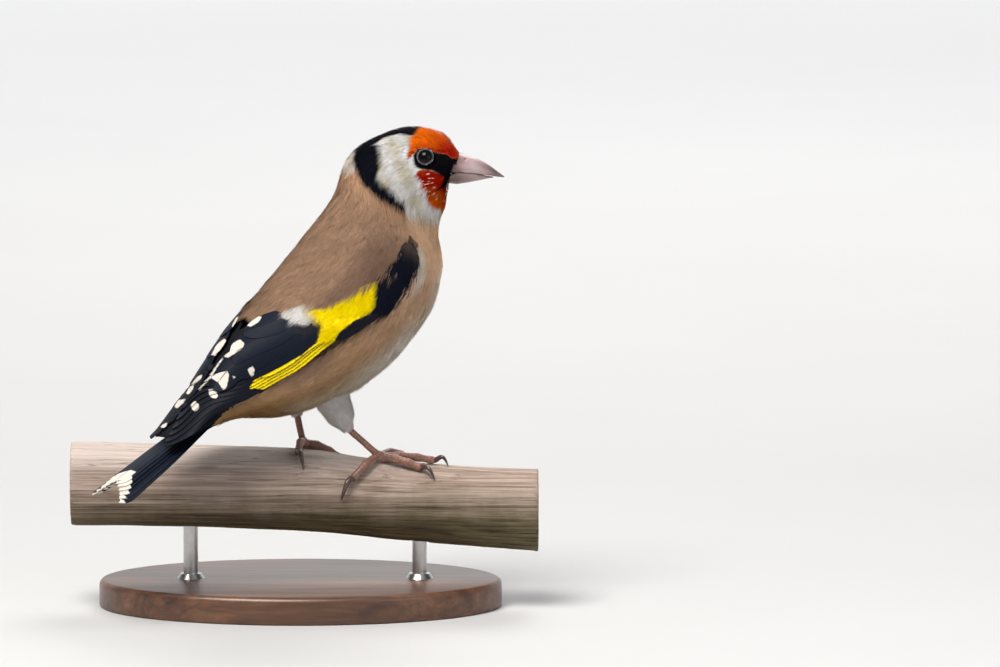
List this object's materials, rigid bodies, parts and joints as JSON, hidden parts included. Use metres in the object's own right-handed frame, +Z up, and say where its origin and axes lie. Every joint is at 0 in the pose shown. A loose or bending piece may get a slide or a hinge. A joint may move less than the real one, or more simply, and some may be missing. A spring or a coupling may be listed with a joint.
{
  "type": "european goldfinch model",
  "caption": "Life-size still model of a perched european goldfinch gripping a cut length of branch, on a flat oval display base with short rods.",
  "frame": {"origin": "on the floor, at the middle of the underside of the oval display base", "axes": "+Z up; +X along the branch, the way the bird's bill points; +Y away from the side of the bird that the picture shows"},
  "size_m": [0.102, 0.0631, 0.1041],
  "materials": {
    "plumage_head": "red, white and black feathers",
    "plumage_body": "soft brown feathers",
    "plumage_pale": "fluffy pale feathers",
    "plumage_black": "smooth flight feathers with yellow and white",
    "bill": "smooth horn, pale with a darker ridge and tip",
    "eye": "wet gloss",
    "leg_skin": "fine scales, satin",
    "claw": "smooth dark horn",
    "branch": "weathered, finely cracked",
    "stand_wood": "satin lacquer",
    "stand_metal": "brushed"
  },
  "bodies": {
    "root": {"head": "plumage_head", "neck": "plumage_body", "torso": "plumage_body", "tail": "plumage_black", "wing_right": "plumage_black", "wing_left": "plumage_black", "upper_bill": "bill", "lower_bill": "bill", "eye_right": "eye", "eye_left": "eye", "thigh_right": "plumage_pale", "thigh_left": "plumage_pale", "shank_right": "leg_skin", "shank_left": "leg_skin", "foot_right": "leg_skin", "foot_left": "leg_skin", "perch": "branch", "stand_base": "stand_wood", "stand_rod_left": "stand_metal", "stand_rod_right": "stand_metal", "claw_right_1": "claw", "claw_right_2": "claw", "claw_right_3": "claw", "claw_right_4": "claw", "claw_left_1": "claw", "claw_left_2": "claw", "claw_left_3": "claw", "claw_left_4": "claw"}
  },
  "joints": []
}
